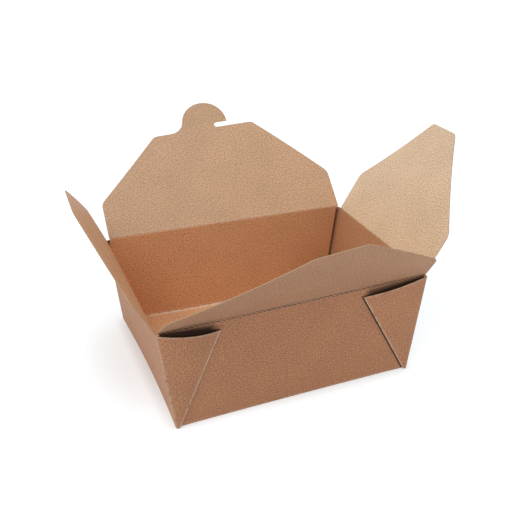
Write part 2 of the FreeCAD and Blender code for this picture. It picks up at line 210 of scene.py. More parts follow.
def flap_shape(text, hinge, root, shoulder, shoulder_at, tip, reach, rise, twist, curl):
    """PropertyGroup for one flap's outline and angle. Lengths in millimetres, angles in degrees."""
    fields = {
        "root": length("Root half width", root, "Half the flap's width at its crease"),
        "shoulder": length("Shoulder half width", shoulder, "Half the width at the shoulders"),
        "shoulder_at": length("Shoulder distance", shoulder_at, "From the crease to the shoulders"),
        "tip": length("Tip half width", tip, "Half the width of the straight tip"),
        "reach": length("Reach", reach, "From the crease to the tip"),
        "rise": angle("Rise", rise, "Angle above the outward horizontal, at the middle of the crease"),
        "twist": number("Twist", twist, "Change of that angle along the crease, in degrees per millimetre"),
        "curl": number("Curl", curl, "Change of that angle along the flap, in degrees per millimetre"),
    }
    return type(text, (PropertyGroup,), {"__annotations__": fields, "__doc__": hinge + " flap."})


LeftFlapShape = flap_shape("LeftFlapShape", "Left", 52.0, 53.8, 24.8, 13.5, 63.4, 64.10, 0.0399, -0.0319)
RightFlapShape = flap_shape("RightFlapShape", "Right", 52.0, 55.7, 27.4, 14.2, 80.4, 61.49, -0.1302, -0.0041)
FrontFlapShape = flap_shape("FrontFlapShape", "Front", 83.0, 81.0, 19.3, 15.6, 64.8, 50.19, 0.0635, 0.0876)
BackFlapShape = flap_shape("BackFlapShape", "Back", 82.0, 80.6, 26.1, 34.8, 70.7, 39.93, 0.1061, 0.0380)


class FlapFinish(PropertyGroup):
    """Roundings that all flaps share, and the hook tab on the back flap."""

    shoulder_round: length("Shoulder rounding", 8.0, "Radius of the flaps' shoulders")
    tip_round: length("Tip rounding", 5.5, "Radius of the flaps' tips")
    crease_half: length("Crease half width", 0.3, "Half the width over which a crease bends")
    turn_reach: length("Turning reach", 1.6, "Distance either side of a crease that turns with the flap")
    tab_offset: length("Tab offset", 2.0, "How far the tab's middle lies off the flap's")
    tab_rise: length("Tab rise", 4.5, "From the flap's tip edge to the tab's middle")
    tab_radius: length("Tab radius", 15.5, "Radius of the round tab")
    neck_radius: length("Neck radius", 10.0, "Radius of the hollow neck on the tab's left")
    slot_start: length("Slot start", 8.2, "From the flap's middle to the round end of the slot")
    slot_width: length("Slot width", 3.5, "Width of the slot under the hook")


class CardFinish(PropertyGroup):
    """Colours of the kraft card."""

    outside: colour("Outside", (0.741, 0.520, 0.375), "the card's outside")
    # Painted light: the flaps' outside, paler and brighter than the walls' same card.
    flap_outside_painted_light: colour("Flap outside", (0.745, 0.556, 0.425), "the flaps' outside")
    inside: colour("Inside", (0.898, 0.687, 0.513), "the tray's inside")
    # Painted light: lit copies of the inside's colour, paler and lighter, for the flaps, the left and the
    # right flap.
    flap_inside_painted_light: colour("Flap inside", (0.822, 0.659, 0.513), "the flaps' inside")
    left_flap_painted_light: colour("Warm inside", (0.84, 0.645, 0.478), "the left flap's inside, the warmest")
    right_flap_painted_light: colour("Pale inside", (0.905, 0.79, 0.656), "the right flap's inside, the palest")
    cut_edge: colour("Cut edge", (0.80, 0.67, 0.53), "the card's cut edges")
    dark_fibre: colour("Dark fibres", (0.50, 0.36, 0.25), "the dark fibres")
    score: colour("Score", (0.17, 0.105, 0.065), "the front crease's pressed strokes")
    light_fibre: colour("Light fibres", (0.90, 0.80, 0.66), "the light fibres")
    # Paler rubbed card at worn folds; on the left web's diagonal fold also a painted highlight.
    worn: colour("Worn folds", (1.0, 0.96, 0.88), "the card where its folds are rubbed")
    # Painted shade: the dark laid over the card in hollows, slits and where less light falls.
    pocket: colour("Pockets", (0.17, 0.095, 0.055), "the dark in the corner pockets")
    # Painted light: the base's inside, lighter than the walls' inside.
    floor_inside_painted_light: colour("Floor inside", (0.94, 0.755, 0.585), "the base's inside")


class StageSet(PropertyGroup):
    """Camera and light."""

    azimuth: angle("Camera azimuth", -24.384, "Camera's direction round the box, from straight in front")
    elevation: angle("Camera elevation", 29.325, "Camera's angle above the floor")
    roll: angle("Camera roll", 2.047, "Camera's turn about its line of sight")
    distance: length("Camera distance", 485.815, "From the camera to the base's middle, along the view")
    shift_right: length("Picture shift", -0.41, "How far right of the view's axis the base's middle lies")
    shift_up: length("Picture drop", -54.599, "How far above the view's axis the base's middle lies")
    lens: number("Lens", 51.075, "Focal length in millimetres, on a 36 mm sensor")
    key_power: number("Key light", 1.6, "Power of the light beside the camera, in watts")
    high_power: number("High light", 2.2, "Power of the light high on the left, in watts")
    floor_glow: number("Floor glow", 0.62, "White that the camera sees in the floor besides its light")
    # Painted shadow: the floor's glow in the soft ellipse left of the box.
    shade_glow: number("Shaded floor glow", 0.34, "The same in the soft shade on the box's left")
    sky: number("Sky light", 0.62, "Strength of the even light from all round")


def runs_back(axis, side):
    """Whether a wall runs against its axis on a walk round the tray from the front left corner."""
    return side == (BACK if axis == "y" else LEFT)


def end_face(tray, z):
    """Distance from the middle to an end wall's outer face: the foot's, plus the flare's share of z."""
    return tray.base_length / 2 + tray.end_flare * z / tray.wall_height


def long_face(tray, z):
    """Distance from the middle to a long wall's outer face: the foot's, less the lean's share of z."""
    return tray.base_width / 2 - tray.side_lean * z / tray.wall_height


def rim_height(tray, steps):
    """Height of a wall: an end wall's, plus a whole number of rim steps."""
    return tray.wall_height + steps * tray.rim_step


def wall_bow(tray, foot_bow, across, z):
    """Inward bow of a wall: a parabola across it, times the foot's bow fading to the rim plus a belly."""
    up = np.clip(z / tray.wall_height, 0.0, 1.0)
    return (1 - across ** 2) * (foot_bow * (1 - up) ** 1.5 + tray.wall_belly * np.sin(np.pi * up))


def foot_bow(tray, axis, side):
    """Bow of one side of the base."""
    if axis == "x":
        return tray.left_foot_bow if side == LEFT else tray.right_foot_bow
    return tray.front_foot_bow if side == FRONT else tray.back_foot_bow


def long_wall(tray, side, across, z):
    """Middle of a long wall's card, the face less the bow: across runs -1 to 1 between its edge folds."""
    x = across * (end_face(tray, z) - tray.edge_inset)
    y = side * (long_face(tray, z) - tray.card / 2 - wall_bow(tray, foot_bow(tray, "y", side), across, z))
    return x, y


def end_wall(tray, side, across, z):
    """Middle of an end wall's card: across runs -1 to 1 between its soft corners."""
    x = side * (end_face(tray, z) - tray.card / 2 - wall_bow(tray, foot_bow(tray, "x", side), across, z))
    y = across * (long_face(tray, z) + end_overhang(tray))
    return x, y


def end_overhang(tray):
    """How far an end wall's flat part runs on past the long wall's face."""
    return tray.layer_step - tray.corner_bend


def tip_reach(tray, side):
    """Distance from the corner to a web's tip, at the end that a sign or a place along X stands for."""
    return np.where(np.asarray(side) < 0, tray.web_reach_left, tray.web_reach_right)


def web_reach(tray, side, z):
    """Distance from the corner to the diagonal fold, growing evenly from its foot to its tip."""
    return tray.web_start + (tip_reach(tray, side) - tray.web_start) * z / (tray.wall_height - tray.web_drop)


def web_top(tray, side, share):
    """Height of a web's top edge at a share of the way to its tip: the rim's, less that share of the drop."""
    at_tip = tip_reach(tray, side)
    slope = (at_tip - tray.web_start) / (tray.wall_height - tray.web_drop)
    fall = tray.web_drop * share / at_tip
    return (tray.wall_height - fall * tray.web_start) / (1 + fall * slope)


def web_hollow_shade(tray, x, z):
    """How deep a place on a long wall's outside lies in the pocket behind a web, 0 to 1.

    It grows as a smoothstep from the wall's rim down to the web's top edge, and fades before the web's fold.
    """
    crease_rise, fade, steepness, right_share = 0.6 * MM, 4.0 * MM, 1.35, 0.85
    reach = tip_reach(tray, x)
    q = end_face(tray, z) - np.abs(x)
    rim = rim_height(tray, 1) + crease_rise
    lip = web_top(tray, x, np.clip(q / reach, 0, 1.2))
    down = np.clip(steepness * (rim - z) / (rim - lip), 0, 1)
    open_share = np.clip((np.minimum(web_reach(tray, x, z), reach) - q) / fade, 0, 1)
    return down ** 2 * (3 - 2 * down) * open_share * np.where(x < 0, 1.0, right_share)


def slit_shade(tray, x, z):
    """Dark of the slit in the tray's back right corner: one and a half Gaussians, cut off at one."""
    width = 1.1 * MM
    return np.minimum(1.5 * np.exp(-((end_face(tray, z) - tray.edge_inset - x) / width) ** 2), 1)


def slow_shade(shade, x):
    """Shade that changes evenly: its value at the middle plus its rise times x, from 0 to its most."""
    return np.clip(shade[0] + shade[1] * x, 0, shade[2])


def point_marks(z, wear=0.0, outside=0.0, inside=0.0, lid=0.0, floor=0.0):
    """The marks of a grid's points, in the order of MARKS."""
    return np.stack([mark + 0 * z for mark in (wear, outside, inside, lid, floor)], axis=-1)


def eased(count):
    """Shares from 0 to 1 that crowd at both ends: half of one minus the cosine."""
    return (1 - np.cos(np.linspace(0, np.pi, count))) / 2


def ring_heights(tray, tops, up):
    """Rows of heights: round the base bend by one minus a sine, then shares of the way to each top."""
    foot = tray.card / 2 + tray.base_bend
    bend = foot - tray.base_bend * np.sin(BEND_TURN)
    rising = foot + (np.asarray(tops) - foot) * up[1:, None]
    return np.vstack([bend[:, None] + 0 * rising[:1], rising])


def tuck(tray, points, inward):
    """Moves the bend's rows in under the walls by its radius times one minus the cosine of the turn."""
    shift = tray.base_bend * (1 - np.cos(BEND_TURN))
    points[: len(BEND_TURN), :, :2] += shift[:, None, None] * inward[None]
    return points


def corner_ring(tray, end, side, up):
    """Points, flat-sheet UV, marks and worn folds of one corner, from long wall to end wall.

    q is the distance inward from the end wall's face and o outward from the long wall's. The sheet turns a
    half circle at the long wall's edge, runs flat to the diagonal fold, turns a half circle back, bows out
    by a parabola along the outer layer and turns a quarter circle into the end wall.
    """
    card = tray.card
    edge_radius = (tray.inner_step + card / 2) / 2
    fold_radius = (tray.layer_step - tray.inner_step) / 2
    corner = tray.corner_bend + card / 2
    edge_turn = np.linspace(0, np.pi, TURN_POINTS)[1:]
    inner_share = eased(INNER_POINTS)[1:-1]
    fold_turn = np.linspace(-np.pi / 2, np.pi / 2, TURN_POINTS)
    outer_share = eased(OUTER_POINTS)[-2:0:-1]
    corner_turn = np.linspace(np.pi / 2, np.pi, TURN_POINTS)[:-1]
    web_corner = web_top(tray, end, 0.0)
    strip = strip_foot(tray, side_steps("y", side))
    tops = [
        strip + (web_corner - strip) * edge_turn / np.pi,
        web_top(tray, end, inner_share),
        web_top(tray, end, 1 + 0 * fold_turn),
        web_top(tray, end, outer_share),
        web_corner + 0 * corner_turn,
    ]
    breaks = np.cumsum([len(part) for part in tops])[:-1]
    z = ring_heights(tray, np.concatenate(tops), up)
    edge, inner, fold, outer, upright = np.split(z, breaks, axis=1)

    def middle(height):
        return web_reach(tray, end, height) - fold_radius - card / 2

    bow = tray.web_bow_left if end == LEFT else tray.web_bow_right
    bow = bow * outer / tray.wall_height * 4 * outer_share * (1 - outer_share)
    q = np.hstack([
        tray.edge_inset - edge_radius * np.sin(edge_turn) + 0 * edge,
        tray.edge_inset + (middle(inner) - tray.edge_inset) * inner_share,
        middle(fold) + fold_radius * np.cos(fold_turn),
        corner + (middle(outer) - corner) * outer_share,
        corner + tray.corner_bend * np.cos(corner_turn) + 0 * upright,
    ])
    o = np.hstack([
        tray.inner_step - edge_radius * (1 + np.cos(edge_turn)) + 0 * edge,
        tray.inner_step + 0 * inner,
        tray.inner_step + fold_radius * (1 + np.sin(fold_turn)) + 0 * fold,
        tray.layer_step + bow,
        end_overhang(tray) + tray.corner_bend * np.sin(corner_turn) + 0 * upright,
    ])
    points = np.stack([end * (end_face(tray, z) - q), side * (long_face(tray, z) + o), z], axis=-1)
    into_end = np.concatenate([np.zeros(breaks[3]), np.linspace(0, 1, TURN_POINTS)[:-1]])
    points = tuck(tray, points, np.stack([-end * into_end, 0 * into_end], axis=-1))
    on_inner = np.arange(z.shape[1]) < breaks[1]
    web_inner_shade = np.ones(z.shape[1])
    web_inner_shade[:breaks[0]] = np.linspace(0, 1, breaks[0])
    web_inner_shade[breaks[3]:] = np.linspace(1, 0, z.shape[1] - breaks[3])
    wear = np.zeros(z.shape)
    wear[:, breaks[2]:] = WEAR["web_edge"] * nearness(z[:, breaks[2]:] - z[-1, breaks[2]:], WEB_WEAR_WIDTH)
    u = end * (tray.base_length / 2 + np.where(on_inner, q, z))
    v = side * (tray.base_width / 2 + np.where(on_inner, z, q))
    # Painted shade: full on the faces hidden in the web's fold, and WEB_SHADE on the left webs' outer layer.
    marks = point_marks(z, wear, np.where(on_inner, 1.0, WEB_SHADE * (end == LEFT)), web_inner_shade)
    half_turn = TURN_POINTS // 2
    folds = [(breaks[2], WEAR["left_diagonal_highlight"]), (breaks[3] + half_turn, WEAR["upright"])]
    if end == RIGHT:
        folds[0] = (breaks[1] + half_turn + 2, WEAR["right_diagonal"])
    return points, np.stack([u, v], axis=-1), marks, folds


def side_steps(axis, side):
    """Rim steps of a wall: none at the ends, one at the front, two at the back."""
    if axis == "x":
        return 0
    return 1 if side == FRONT else 2


def strip_foot(tray, steps):
    """Height at which a flap's piece takes over from its wall."""
    return rim_height(tray, steps) - tray.rim_overlap


def wall_ring(tray, axis, side, across, tops, up):
    """Points, flat-sheet UV and marks of one wall between its corners."""
    z = ring_heights(tray, tops, up)
    place = long_wall if axis == "y" else end_wall
    x, y = place(tray, side, across + 0 * z, z)
    points = np.stack([x, y, z], axis=-1)
    if axis == "y":
        uv = np.stack([x, side * (tray.base_width / 2 + z)], axis=-1)
        inward = np.array([0.0, -side])
        # Painted shade: on the long walls' outside in the hollows behind the webs and darker to the left, on
        # the back wall's inside darker to the right and in its corner slit.
        outside = np.maximum(web_hollow_shade(tray, x, z), slow_shade(FRONT_SHADE, x))
        inside = np.maximum(slow_shade(BACK_SHADE, x), slit_shade(tray, x, z)) * (side == BACK)
    else:
        uv = np.stack([side * (tray.base_length / 2 + z), y], axis=-1)
        inward = np.array([-side, 0.0])
        # Painted shade: a little on the end walls' outside, more on the right wall's inside.
        outside, inside = END_SHADE, RIGHT_SHADE * (side == RIGHT)
    marks = point_marks(z, 0.0, outside, inside)
    return tuck(tray, points, np.tile(inward, (len(across), 1))), uv, marks


def end_columns(tray, root):
    """Shares and tops of an end wall's columns: lower across the flap's root than beside it."""
    half = long_face(tray, tray.wall_height) + end_overhang(tray)
    under = np.sin(np.pi / 2 * np.linspace(-1, 1, ROOT_COLUMNS)) * (root - ROOT_GAP) / half
    beside = root / half + (1 - root / half) * BESIDE_ROOT
    across = np.concatenate([-beside[::-1], under, beside])
    low = np.abs(across) < root / half - 1e-9
    return across, np.where(low, strip_foot(tray, 0), rim_height(tray, 0))


def nearness(distance, width):
    """How near something is: 1 on it, falling as the exponential of the distance over the width."""
    return np.exp(-np.abs(distance) / width)


def tray_grids(tray, root):
    """The tray as two grids: the closed ring of walls and webs, and the base as a Coons patch.

    The base is the mean of the two blends between opposite borders: front to back plus left to right,
    less the blend of the four corners.
    """
    up = eased(WALL_ROWS)
    long_across = np.sin(np.pi / 2 * np.linspace(-1, 1, WALL_COLUMNS))
    end_across, end_tops = end_columns(tray, root)
    parts, folds, feet, count = [], [], {}, 0
    turns_round = (("y", FRONT, RIGHT), ("x", RIGHT, BACK), ("y", BACK, LEFT), ("x", LEFT, FRONT))
    for axis, side, toward in turns_round:
        backwards = runs_back(axis, side)
        if axis == "y":
            across, tops = long_across, strip_foot(tray, side_steps(axis, side)) + 0 * long_across
        else:
            across, tops = end_across, end_tops
        points, uv, marks = wall_ring(tray, axis, side, -across if backwards else across, tops, up)
        feet[axis, side] = points[0, ::-1] if backwards else points[0]
        parts.append((points, uv, marks))
        count += len(across)
        end, long_side = (toward, side) if axis == "y" else (side, toward)
        points, uv, marks, turns = corner_ring(tray, end, long_side, up)
        if axis == "x":
            points, uv, marks = points[:, ::-1], uv[:, ::-1], marks[:, ::-1]
            turns = [(points.shape[1] - 1 - turn, share) for turn, share in turns]
        parts.append((points, uv, marks))
        folds += [(count + turn, share) for turn, share in turns]
        count += points.shape[1]
    points, uv, marks = (np.concatenate([part[field] for part in parts], axis=1) for field in range(3))
    steps = np.linalg.norm(np.diff(points, axis=1, append=points[:, :1]), axis=-1)
    along = np.cumsum(steps, axis=1) - steps
    worn = [nearness(along - along[:, fold:fold + 1], tray.card) * share for fold, share in folds]
    behind = np.where(points[..., 1] > tray.base_width / 2 - BACK_ZONE, 1.0, WEAR["foot"])
    foot = np.minimum(2 * nearness(points[..., 2] - tray.card / 2, FOOT_WEAR_WIDTH), 1) * behind
    marks[..., 0] = np.max(worn + [foot, marks[..., 0]], axis=0)
    ring = (points, uv, marks, False, True)

    left, right = feet["x", LEFT], feet["x", RIGHT]
    front = np.vstack([left[:1], feet["y", FRONT], right[:1]])
    back = np.vstack([left[-1:], feet["y", BACK], right[-1:]])
    u = ((front[:, 0] - front[0, 0]) / (front[-1, 0] - front[0, 0]))[None, :, None]
    v = ((left[:, 1] - left[0, 1]) / (left[-1, 1] - left[0, 1]))[:, None, None]
    corners = (1 - v) * ((1 - u) * front[0] + u * front[-1]) + v * ((1 - u) * back[0] + u * back[-1])
    base = (1 - v) * front[None] + v * back[None] + (1 - u) * left[:, None] + u * right[:, None] - corners
    sides = np.minimum(base[..., 0] - left[:, None, 0], right[:, None, 0] - base[..., 0])
    sides = np.minimum(sides, base[..., 1] - front[None, :, 1])
    behind = np.minimum(2 * nearness(back[None, :, 1] - base[..., 1], BASE_WEAR_WIDTH), 1)
    wear = np.maximum(WEAR["foot"] * nearness(sides, tray.card), behind)
    return [ring, (base, base[..., :2], point_marks(wear, wear, floor=1.0), True, False)]


def fillet(before, at, after, radius, count=9):
    """Points round a corner, by complex numbers: the circle of that radius that touches both its lines."""
    before, at, after = (complex(*point) for point in (before, at, after))
    first = (at - before) / abs(at - before)
    second = (after - at) / abs(after - at)
    turn = float(np.angle(second / first))
    spoke = -1j * first * math.copysign(radius, turn)
    centre = at - first * radius * math.tan(abs(turn) / 2) - spoke
    places = centre + spoke * np.exp(1j * turn * np.linspace(0, 1, count))
    return np.stack([places.real, places.imag], axis=-1)


def flap_outline(flap, finish):
    """Half widths and distances along one side of a flap: straight lines with rounded shoulder and tip."""
    root = (flap.root, 0.0)
    shoulder = (flap.shoulder, flap.shoulder_at)
    tip = (flap.tip, flap.reach)
    middle = (0.0, flap.reach)
    return np.vstack([
        [root],
        fillet(root, shoulder, tip, finish.shoulder_round),
        fillet(shoulder, tip, middle, finish.tip_round, 13),
    ])


class FlapSurface:
    """Middle of a flap's card as a function of s along its crease and l across it.

    The slope turns from the wall's to the flap's over the crease as a smoothstep of l; the flap's slope is
    its rise, plus the twist times s, plus the curl times l. The place is the strip's foot plus the running
    sum of the slope's cosine outwards and sine upwards, in closed form beyond the crease.
    """

    def __init__(self, box, name):
        self.tray, self.finish, self.flap = box.tray, box.finish, getattr(box, name)
        self.axis, self.side = FLAP_SIDES[name]
        self.hinge = HINGES[name.replace("flap", "crease")]
        self.foot = strip_foot(self.tray, side_steps(self.axis, self.side))
        self.strip = self.hinge.z - self.foot

    def half(self, z):
        """Half the wall's width between its corners, at a height."""
        if self.axis == "y":
            return end_face(self.tray, z) - self.tray.edge_inset
        return long_face(self.tray, z) + end_overhang(self.tray)

    def wall(self, s, z):
        """How far out the wall's middle stands, at a place along the crease and a height."""
        place, part = (long_wall, 1) if self.axis == "y" else (end_wall, 0)
        return place(self.tray, self.side, s / self.half(z), z)[part] * self.side

    def strip_half(self):
        """Half width of the flap's piece where it stands on the wall."""
        if self.axis == "y":
            return self.half(self.foot)
        return (self.flap.root - ROOT_GAP) / self.half(self.tray.wall_height) * self.half(self.foot)

    def slope(self, s, l):
        """Angle above the outward horizontal."""
        half, step = self.finish.crease_half, 0.4 * MM
        wall = np.arctan2(step, self.wall(s, self.foot) - self.wall(s, self.foot - step))
        flap = self.flap_slope(s, np.maximum(l, 0))
        t = np.clip((l + half) / (2 * half), 0, 1)
        share = t * t * (3 - 2 * t)
        return wall * (1 - share) + flap * share

    def flap_slope(self, s, l):
        """The flap's own angle, before the crease bends it."""
        per_mm = np.radians(self.flap.twist * s / MM + self.flap.curl * l / MM)
        return self.flap.rise + per_mm

    def points(self, s, l):
        """Points of the surface at (s, l), as (x, y, z)."""
        half = self.finish.crease_half
        near = np.minimum(l, half)
        samples = (np.arange(SLOPE_SAMPLES) + 0.5) / SLOPE_SAMPLES
        within = -self.strip + (near + self.strip)[..., None] * samples
        slopes = self.slope(s[..., None], within)
        out = (near + self.strip) * np.cos(slopes).mean(axis=-1)
        rise = (near + self.strip) * np.sin(slopes).mean(axis=-1)
        beyond = np.maximum(l, half) - half
        middle = self.flap_slope(s, half + beyond / 2)
        bend = np.radians(self.flap.curl / MM) * beyond / 2
        out = out + beyond * np.cos(middle) * np.sinc(bend / np.pi)
        rise = rise + beyond * np.sin(middle) * np.sinc(bend / np.pi)
        away = self.side * (self.wall(s, self.foot) + out)
        if self.axis == "y":
            return np.stack([s, away, self.foot + rise], axis=-1)
        return np.stack([away, s, self.foot + rise], axis=-1)

    def grid(self, s, l):
        """One grid of the flap: its points, flat-sheet UV and marks."""
        tray = self.tray
        points = self.points(s, l)
        if self.axis == "y":
            uv = np.stack([s, self.side * (tray.base_width / 2 + self.hinge.z + l)], axis=-1)
            # Painted shade: outside in the hollows behind the webs and darker to the left; inside the back
            # flap, its wall strip darker to the right, its lid darker to the left and at the tab.
            outside = np.where(l < 0, web_hollow_shade(tray, s, self.hinge.z + l), 0.0)
            outside = np.maximum(outside, slow_shade(FRONT_SHADE, s))
            on_tab = np.clip((l - self.flap.reach) / TAB_SHADE_WIDTH, 0, 1)
            lid_shade = slow_shade(LID_SHADE, s) + TAB_SHADE * on_tab
            inside = np.where(l < 0, slow_shade(BACK_SHADE, s), lid_shade) * (self.side == BACK)
        else:
            uv = np.stack([self.side * (tray.base_length / 2 + self.hinge.z + l), s], axis=-1)
            # Painted shade: a little on the end flaps' outside, more on the right flap's wall strip inside.
            outside = END_SHADE
            inside = RIGHT_SHADE * (l < 0) * (self.side == RIGHT)
        lid = np.clip(l / self.finish.crease_half + 0.5, 0, 1)
        marks = point_marks(s, WEAR["crease"] * nearness(l, tray.card), outside, inside, lid)
        return points, uv, marks, runs_back(self.axis, self.side), False


def flap_rows(surface, outline):
    """Distances of a flap's rows: fine over the crease, even beyond it, and all of the outline's own."""
    half = surface.finish.crease_half
    reach = surface.flap.reach
    rows = np.unique(np.concatenate([
        np.linspace(-surface.strip, -half, STRIP_ROWS),
        np.linspace(-half, half, CREASE_ROWS),
        half + PAST_CREASE,
        np.linspace(half, reach, LID_ROWS),
        outline[1:, 1],
    ]))
    keep = np.append(np.diff(rows) > 0.05 * MM, True)
    return rows[keep]


def spread(share, low, high, knots):
    """Places across a row: straight pieces from -width over the two knots' places to +width."""
    first = np.clip((share + 1) / (knots[0] + 1), 0, 1)
    second = np.clip((share - knots[0]) / (knots[1] - knots[0]), 0, 1)
    third = np.clip((share - knots[1]) / (1 - knots[1]), 0, 1)
    a, b, width = low, high[0], high[1]
    return -width + first * (a + width) + second * (b - a) + third * (width - b)


def flap_grid(surface, columns, knots=(-1 / 3, 1 / 3), tops=None):
    """The flap's main grid. Tops are the places at its tip edge that the two knots' columns run to."""
    outline = flap_outline(surface.flap, surface.finish)
    rows = flap_rows(surface, outline)
    width = np.interp(rows, outline[:, 1], outline[:, 0])
    width = np.where(rows < 0, surface.strip_half(), width)[:, None]
    share = np.concatenate([
        np.linspace(-1, knots[0], columns[0]),
        np.linspace(knots[0], knots[1], columns[1])[1:],
        np.linspace(knots[1], 1, columns[2])[1:],
    ])[None]
    drift = np.clip(rows / surface.flap.reach, 0, 1)[:, None] ** 2
    ends = tops or (knots[0] * width[-1, 0], knots[1] * width[-1, 0])
    low = knots[0] * width * (1 - drift) + ends[0] * drift
    high = knots[1] * width * (1 - drift) + ends[1] * drift
    s = spread(share, low, (high, width), knots)
    return surface.grid(s, rows[:, None] + 0 * s)


def tab_left(finish, reach, l):
    """Left side of the tab: the hollow neck's circle up to where it touches the round tab's circle."""
    across, up = finish.tab_radius + finish.neck_radius, finish.neck_radius - finish.tab_rise
    neck_s = finish.tab_offset - math.sqrt(across ** 2 - up ** 2)
    touch = reach + finish.neck_radius - up * finish.neck_radius / across
    neck = neck_s + np.sqrt(np.clip(finish.neck_radius ** 2 - (reach + finish.neck_radius - l) ** 2, 0, None))
    disc = finish.tab_offset - tab_half(finish, reach, l)
    return np.where(l < touch, neck, disc)


def tab_half(finish, reach, l):
    """Half width of the round tab at a distance l: its circle's chord."""
    return np.sqrt(np.clip(finish.tab_radius ** 2 - (l - reach - finish.tab_rise) ** 2, 0, None))


def tab_grids(surface):
    """The hook tab: its neck beside the slot's round end, then its crown left and right of the slot."""
    finish, reach = surface.finish, surface.flap.reach
    slot_half = finish.slot_width / 2
    share = np.linspace(0, 1, TAB_COLUMNS)[None]
    rows = reach + finish.slot_width * eased(SLOT_ROWS)[:, None]
    round_end = np.sqrt(np.clip(slot_half ** 2 - (rows - reach - slot_half) ** 2, 0, None))
    end = finish.slot_start + slot_half - round_end
    left = tab_left(finish, reach, rows)
    grids = [surface.grid(left + (end - left) * share, rows + 0 * share)]
    start = math.asin((finish.slot_width - finish.tab_rise) / finish.tab_radius)
    climb = np.linspace(start, np.pi / 2, CROWN_ROWS)[:, None]
    rows = reach + finish.tab_rise + finish.tab_radius * np.sin(climb)
    left = tab_left(finish, reach, rows)
    right = finish.tab_offset + finish.tab_radius * np.cos(climb)
    up = (rows - rows[0]) / (rows[-1] - rows[0])
    split = (finish.slot_start + slot_half) * (1 - up) + finish.tab_offset * up
    grids.append(surface.grid(left + (split - left) * share, rows + 0 * share))
    share = np.linspace(0, 1, HOOK_COLUMNS)[None]
    grids.append(surface.grid(split + (right - split) * share, rows + 0 * share))
    return grids


def between_corners(points, shifts, half_length, half_width):
    """Shift at each point: those of four corners, blended evenly along both sides of their rectangle."""
    a = np.clip(points[..., :1] / half_length, -1, 1)
    b = np.clip(points[..., 1:2] / half_width, -1, 1)
    shares = ((1 - a) * (1 - b), (1 + a) * (1 - b), (1 - a) * (1 + b), (1 + a) * (1 + b))
    return sum(share * np.array(corner) for share, corner in zip(shares, shifts)) / 4


def settle(points, tray, corners):
    """Points as the open box has settled.

    Each point moves by the rim corners' shifts times its height's share of the wall, up to one, and by
    the feet's shifts times the rest of that share.
    """
    rims, feet = ([getattr(corners, level + place) for place in CORNERS] for level in ("rim_", "foot_"))
    up = np.clip(points[..., 2:] / tray.wall_height, 0, 1)
    rim = tray.wall_height
    at_rim = between_corners(points, rims, end_face(tray, rim), long_face(tray, rim))
    at_foot = between_corners(points, feet, tray.base_length / 2, tray.base_width / 2)
    return points + up * at_rim + (1 - up) * at_foot


def card_piece(name, grids, box, inside="kraft_inside"):
    """Card of even thickness about the grids' middle surface: outside, inside and cut edge materials."""
    points, uvs, marks, faces, count = [], [], [], [], 0
    for grid, uv, mark, flipped, closed in grids:
        index = count + np.arange(grid.shape[0] * grid.shape[1]).reshape(grid.shape[:2])
        if closed:
            index = np.hstack([index, index[:, :1]])
        quads = np.stack([index[:-1, :-1], index[:-1, 1:], index[1:, 1:], index[1:, :-1]], axis=-1)
        quads = quads.reshape(-1, 4)
        faces.append(quads[:, ::-1] if flipped else quads)
        points.append(grid.reshape(-1, 3))
        uvs.append(uv.reshape(-1, 2))
        marks.append(mark.reshape(-1, len(MARKS)))
        count += grid.shape[0] * grid.shape[1]
    mesh = bpy.data.meshes.new(name)
    mesh.from_pydata(settle(np.vstack(points), box.tray, box.corners), [], np.vstack(faces))
    corners = np.empty(len(mesh.loops), np.int32)
    mesh.loops.foreach_get("vertex_index", corners)
    flat = mesh.uv_layers.new(name=UV_NAME)
    flat.data.foreach_set("uv", np.vstack(uvs)[corners].astype(np.float32).ravel())
    for title, values in zip(MARKS, np.vstack(marks).astype(np.float32).T):
        mesh.attributes.new(title, "FLOAT", "POINT").data.foreach_set("value", np.ascontiguousarray(values))
    for material in card_materials(box, inside):
        mesh.materials.append(material)
    weld = bmesh.new()
    weld.from_mesh(mesh)
    bmesh.ops.remove_doubles(weld, verts=weld.verts, dist=WELD_GAP)
    weld.to_mesh(mesh)
    weld.free()
    piece = bpy.data.objects.new(name, mesh)
    bpy.context.scene.collection.objects.link(piece)
    thick = piece.modifiers.new("Card", "SOLIDIFY")
    thick.thickness = box.tray.card
    thick.offset = 0.0
    thick.material_offset = 1
    thick.material_offset_rim = 2
    bpy.context.view_layer.update()
    depsgraph = bpy.context.evaluated_depsgraph_get()
    solid = bpy.data.meshes.new_from_object(piece.evaluated_get(depsgraph), depsgraph=depsgraph)
    piece.modifiers.clear()
    piece.data = solid
    bpy.data.meshes.remove(mesh)
    solid.name = name
    solid.shade_smooth()
    solid.set_sharp_from_angle(angle=SHARP_ANGLE)
    return piece


def operator(operation, reflected=False):
    """Method of Value that adds one Math node, with its own value last where it is reflected."""
    def add_node(value, *others):
        values = (*others, value) if reflected else (value, *others)
        return value.tree.node("Math", {"operation": operation}, dict(enumerate(values)))
    return add_node


class Value:
    """A shader socket that Python's operators work on, each adding one Math node."""

    def __init__(self, tree, socket):
        self.tree, self.socket = tree, socket

    __add__ = __radd__ = operator("ADD")
    __sub__, __rsub__ = operator("SUBTRACT"), operator("SUBTRACT", True)
    __mul__ = __rmul__ = operator("MULTIPLY")
    __truediv__ = operator("DIVIDE")
    __pow__ = operator("POWER")
    __abs__ = operator("ABSOLUTE")
    sine, least, most = operator("SINE"), operator("MINIMUM"), operator("MAXIMUM")


def new_material(name):
    """Empty node tree of a new material."""
    material = bpy.data.materials.new(name)
    material.use_nodes = True
    return ShaderTree(material)


